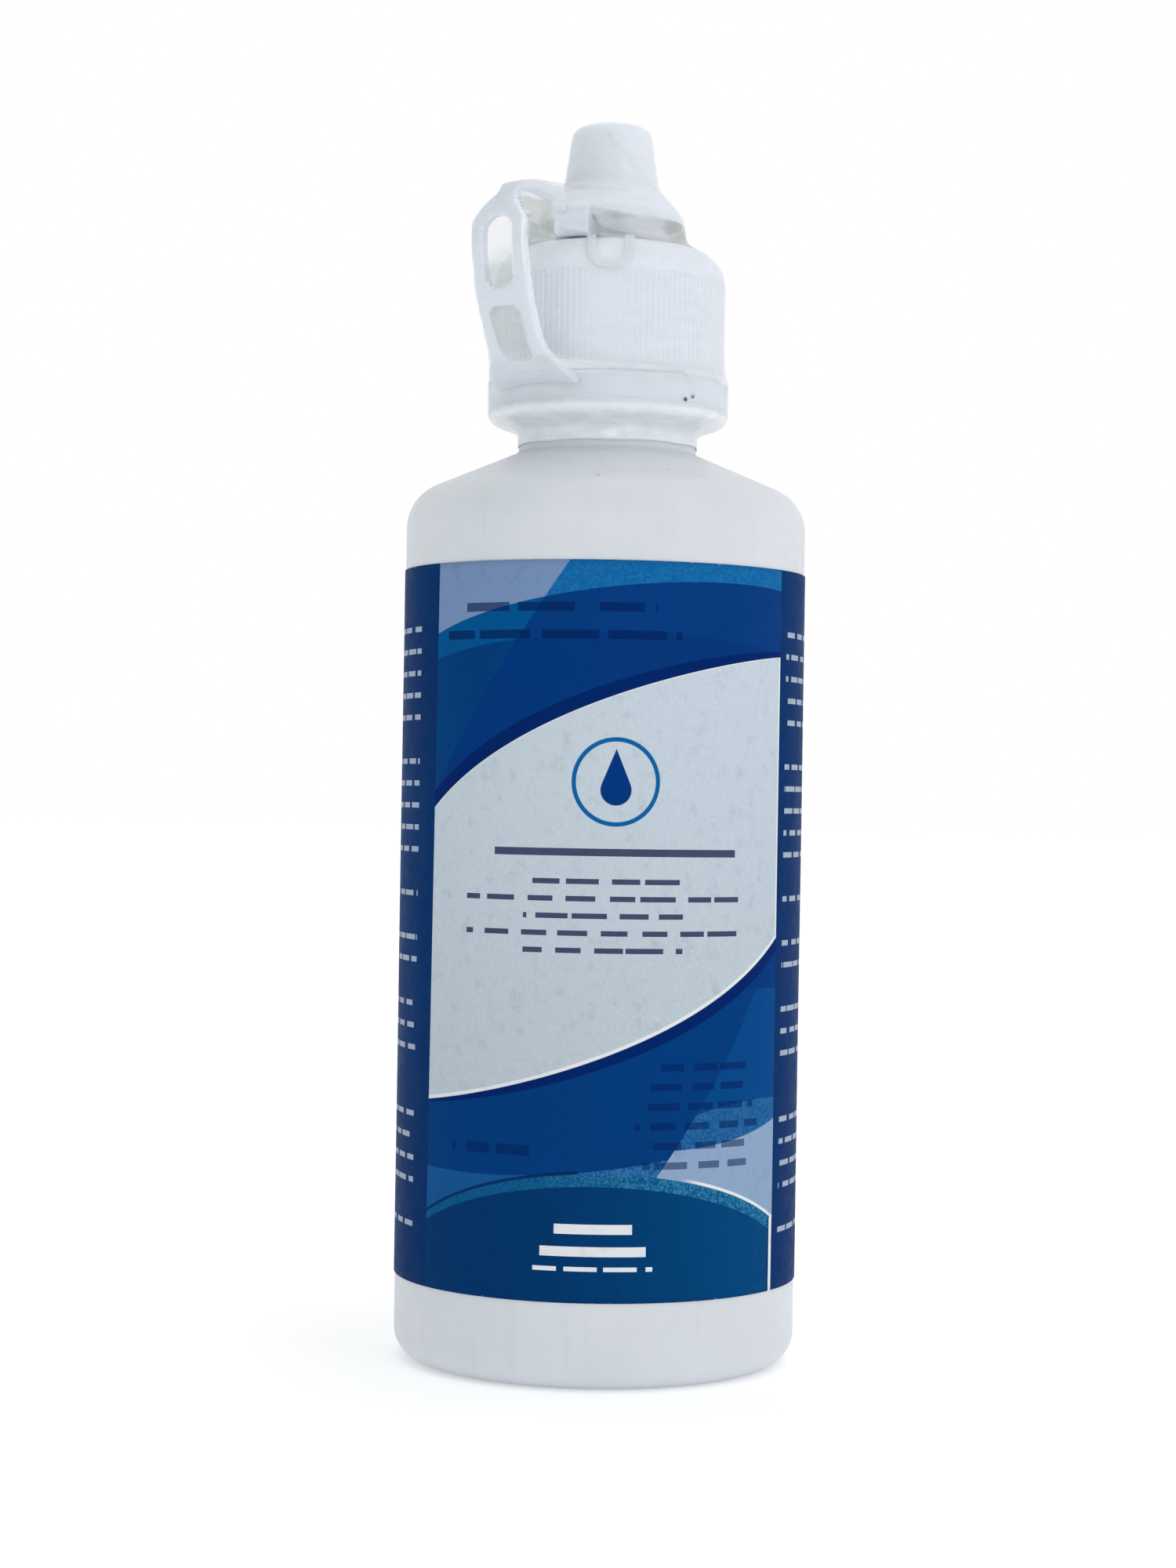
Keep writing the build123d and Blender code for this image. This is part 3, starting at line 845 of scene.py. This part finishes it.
# ---- floor, backdrop light and lamps ----
def floor_material():
    material, tree, shader = new_material("studio_floor")
    point = place_in_mm(tree)
    paint = Paint(tree, (0.90, 0.90, 0.905))
    paint.over((0.88, 0.88, 0.89), grain(tree, point, 60, 3).ramp(0.3, 0.7))
    tree.links.new(paint.colour, shader.inputs["Base Color"])
    shader.inputs["Roughness"].default_value = 0.9
    shader.inputs["Specular IOR Level"].default_value = 0.0
    shader.inputs["Emission Color"].default_value = (1, 1, 1, 1)
    shader.inputs["Emission Strength"].default_value = 0.25
    return material


floor_half = 6.0
floor_piece = mesh_object(
    "studio_floor",
    [(floor_half * x, floor_half * y, 0) for x, y in ((-1, -1), (1, -1), (1, 1), (-1, 1))],
    [(0, 1, 2, 3)],
    floor_material(),
)

world = bpy.data.worlds.new("studio")
world.use_nodes = True
bpy.context.scene.world = world
sky = world.node_tree
direction = sky.nodes.new("ShaderNodeTexCoord")
split = sky.nodes.new("ShaderNodeSeparateXYZ")
sky.links.new(direction.outputs["Generated"], split.inputs[0])
dir_x, dir_y, _ = (Num(o) for o in split.outputs)
side_shade = (dir_x * -0.8 + dir_y * -0.6).ramp(0.0, 0.9)
tone = Paint(sky, (1.0, 1.0, 1.0))
tone.over((0.54, 0.58, 0.56), side_shade)
sky.links.new(tone.colour, sky.nodes["Background"].inputs["Color"])
sky.nodes["Background"].inputs["Strength"].default_value = 1.0


def area_lamp(name, place, target, size, watts):
    lamp = bpy.data.objects.new(name, bpy.data.lights.new(name, "AREA"))
    lamp.data.size = size
    lamp.data.energy = watts
    lamp.location = place
    lamp.rotation_euler = (Vector(target) - Vector(place)).to_track_quat("-Z", "Y").to_euler()
    bpy.context.scene.collection.objects.link(lamp)


area_lamp("key_lamp", (0.7, -0.8, 0.75), (0, 0, 0.08), 0.7, 0.9)
area_lamp("fill_lamp", (0.05, -1.2, 0.13), (0, 0, 0.11), 0.25, 0.9)
area_lamp("top_lamp", (0.0, 0.1, 1.4), (0, 0, 0), 1.2, 2.2)
